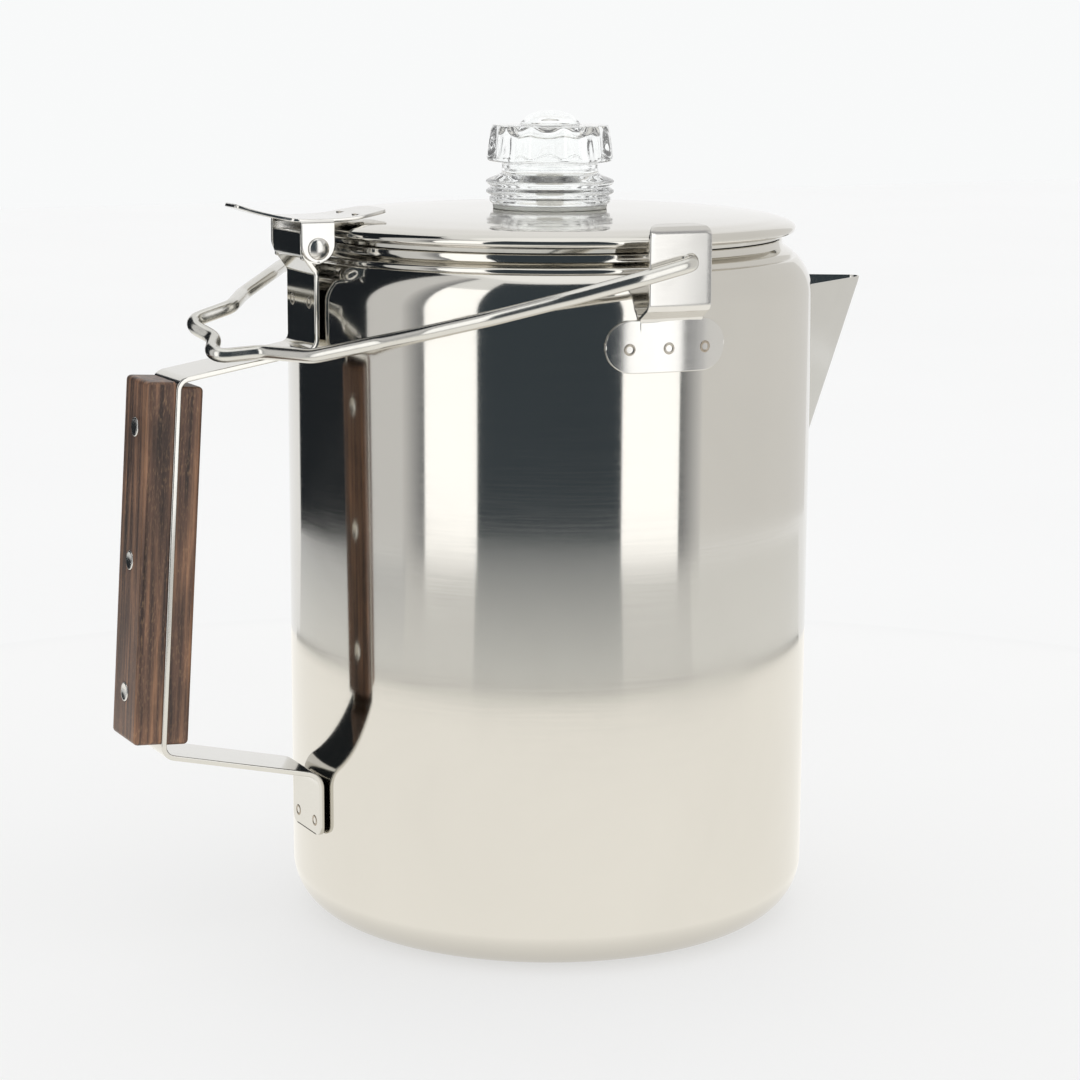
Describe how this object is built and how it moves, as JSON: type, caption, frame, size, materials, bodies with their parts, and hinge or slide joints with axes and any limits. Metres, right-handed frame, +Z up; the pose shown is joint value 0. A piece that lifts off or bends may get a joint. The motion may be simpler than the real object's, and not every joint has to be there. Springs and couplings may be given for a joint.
{
  "type": "coffee percolator",
  "caption": "Stovetop camping coffee percolator: straight steel pot, V spout, hinged lid with clear glass knob, wood-gripped side handle, wire bail and lift-out pump basket.",
  "frame": {"origin": "centre of the flat base, on the surface it stands on", "axes": "+Z up along the pot's axis, +X towards the spout, handle at -X, bail ears at +Y and -Y"},
  "size_m": [0.2355, 0.1701, 0.2314],
  "materials": {
    "pot_body": "polished stainless steel",
    "spout": "polished stainless steel",
    "lid": "polished stainless steel",
    "handle_strap": "polished stainless steel",
    "hinge_plate": "polished stainless steel",
    "hinge_rivet_near": "polished stainless steel",
    "hinge_rivet_far": "polished stainless steel",
    "strap_weld_1": "polished stainless steel",
    "strap_weld_2": "polished stainless steel",
    "strap_weld_3": "polished stainless steel",
    "strap_weld_4": "polished stainless steel",
    "plate_weld_1": "polished stainless steel",
    "plate_weld_2": "polished stainless steel",
    "bail_ear_near": "polished stainless steel",
    "bail_ear_far": "polished stainless steel",
    "ear_weld_near_1": "polished stainless steel",
    "ear_weld_near_2": "polished stainless steel",
    "ear_weld_near_3": "polished stainless steel",
    "ear_weld_far_1": "polished stainless steel",
    "ear_weld_far_2": "polished stainless steel",
    "ear_weld_far_3": "polished stainless steel",
    "bail": "polished stainless steel",
    "knob_lock_ring": "satin stainless steel",
    "pump_foot": "satin stainless steel",
    "pump_stem": "polished stainless steel",
    "basket_rest": "satin stainless steel",
    "coffee_basket": "satin stainless steel",
    "spreader_cover": "satin stainless steel",
    "grip_rivet_1": "stainless rivet, slightly dull",
    "grip_rivet_2": "stainless rivet, slightly dull",
    "grip_rivet_3": "stainless rivet, slightly dull",
    "outer_grip_scale": "oiled dark red-brown hardwood, straight grain",
    "inner_grip_scale": "oiled dark red-brown hardwood, straight grain",
    "glass_knob": "clear pressed glass",
    "knob_seal": "clear silicone"
  },
  "bodies": {
    "pot": {"pot_body": "pot_body", "spout": "spout", "handle_strap": "handle_strap", "outer_grip_scale": "outer_grip_scale", "inner_grip_scale": "inner_grip_scale", "grip_rivet_1": "grip_rivet_1", "grip_rivet_2": "grip_rivet_2", "grip_rivet_3": "grip_rivet_3", "hinge_rivet_near": "hinge_rivet_near", "hinge_rivet_far": "hinge_rivet_far", "strap_weld_1": "strap_weld_1", "strap_weld_2": "strap_weld_2", "strap_weld_3": "strap_weld_3", "strap_weld_4": "strap_weld_4", "bail_ear_near": "bail_ear_near", "bail_ear_far": "bail_ear_far", "ear_weld_near_1": "ear_weld_near_1", "ear_weld_near_2": "ear_weld_near_2", "ear_weld_near_3": "ear_weld_near_3", "ear_weld_far_1": "ear_weld_far_1", "ear_weld_far_2": "ear_weld_far_2", "ear_weld_far_3": "ear_weld_far_3"},
    "lid": {"lid": "lid", "hinge_plate": "hinge_plate", "plate_weld_1": "plate_weld_1", "plate_weld_2": "plate_weld_2", "knob_lock_ring": "knob_lock_ring", "knob_seal": "knob_seal"},
    "knob": {"glass_knob": "glass_knob"},
    "bail": {"bail": "bail"},
    "pump": {"pump_foot": "pump_foot", "pump_stem": "pump_stem", "basket_rest": "basket_rest"},
    "basket": {"coffee_basket": "coffee_basket"},
    "spreader": {"spreader_cover": "spreader_cover"}
  },
  "joints": [
    {"name": "lid_hinge", "type": "hinge", "parent": "pot", "child": "lid", "pos_m": [-0.076, 0, 0.19541], "axis": [0, -1, 0], "range_deg": [0, 100]},
    {"name": "knob_twist", "type": "hinge", "parent": "lid", "child": "knob", "pos_m": [0, 0, 0.2037], "axis": [0, 0, 1], "range_deg": [0, 60]},
    {"name": "bail_swing", "type": "hinge", "parent": "pot", "child": "bail", "pos_m": [0, 0, 0.19461], "axis": [0, 1, 0], "range_deg": [0, 190]},
    {"name": "pump_lift", "type": "slide", "parent": "pot", "child": "pump", "axis": [0, 0, 1], "range_m": [0, 0.006]},
    {"name": "basket_lift", "type": "slide", "parent": "pump", "child": "basket", "axis": [0, 0, 1], "range_m": [0, 0.006]},
    {"name": "spreader_lift", "type": "slide", "parent": "basket", "child": "spreader", "axis": [0, 0, 1], "range_m": [0, 0.006]}
  ]
}
